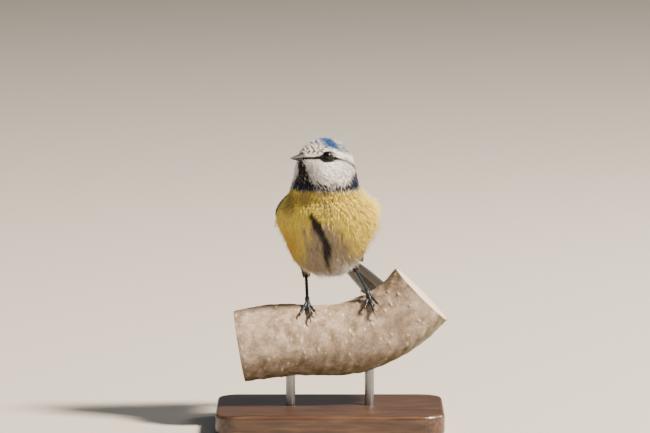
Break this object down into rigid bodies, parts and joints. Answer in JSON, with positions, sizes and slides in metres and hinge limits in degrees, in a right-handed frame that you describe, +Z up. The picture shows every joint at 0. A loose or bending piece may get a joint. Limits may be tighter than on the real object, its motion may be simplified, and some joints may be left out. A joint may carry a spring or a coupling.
{
  "type": "blue tit display model",
  "caption": "Life-size still model of a blue tit gripping a short cut branch, held up by two rods on a flat base.",
  "frame": {"origin": "centre of the base's underside", "axes": "+Z up, +X along the perch and the base's long side, -Y towards the side that the breast faces"},
  "size_m": [0.0997, 0.0923, 0.1255],
  "materials": {
    "plumage_breast": "soft yellow body feathers",
    "plumage_collar": "blue-black feathers",
    "plumage_head": "white, blue and black head feathers",
    "plumage_wing": "blue flight feathers and coverts",
    "plumage_tail": "slate-blue tail feathers",
    "plumage_thigh": "grey thigh down",
    "leg_skin": "blue-grey horny scutes",
    "claw_horn": "dark horn",
    "bill_horn": "blackish horn with pale edges",
    "eye_cornea": "dark wet eye",
    "hazel_bark": "smooth grey-brown bark, plain sawn ends",
    "stand_wood": "oiled walnut",
    "rod_steel": "brushed stainless steel"
  },
  "bodies": {
    "root": {"head": "plumage_head", "neck": "plumage_collar", "torso": "plumage_breast", "eye_left": "eye_cornea", "eye_right": "eye_cornea", "bill_upper": "bill_horn", "bill_lower": "bill_horn", "wing_left": "plumage_wing", "wing_right": "plumage_wing", "tail": "plumage_tail", "thigh_left": "plumage_thigh", "thigh_right": "plumage_thigh", "tarsus_left": "leg_skin", "tarsus_right": "leg_skin", "foot_left": "leg_skin", "foot_right": "leg_skin", "claw_left_inner": "claw_horn", "claw_left_middle": "claw_horn", "claw_left_outer": "claw_horn", "claw_left_hind": "claw_horn", "claw_right_inner": "claw_horn", "claw_right_middle": "claw_horn", "claw_right_outer": "claw_horn", "claw_right_hind": "claw_horn", "perch_branch": "hazel_bark", "stand_base": "stand_wood", "stand_rod_left": "rod_steel", "stand_rod_right": "rod_steel"}
  },
  "joints": []
}
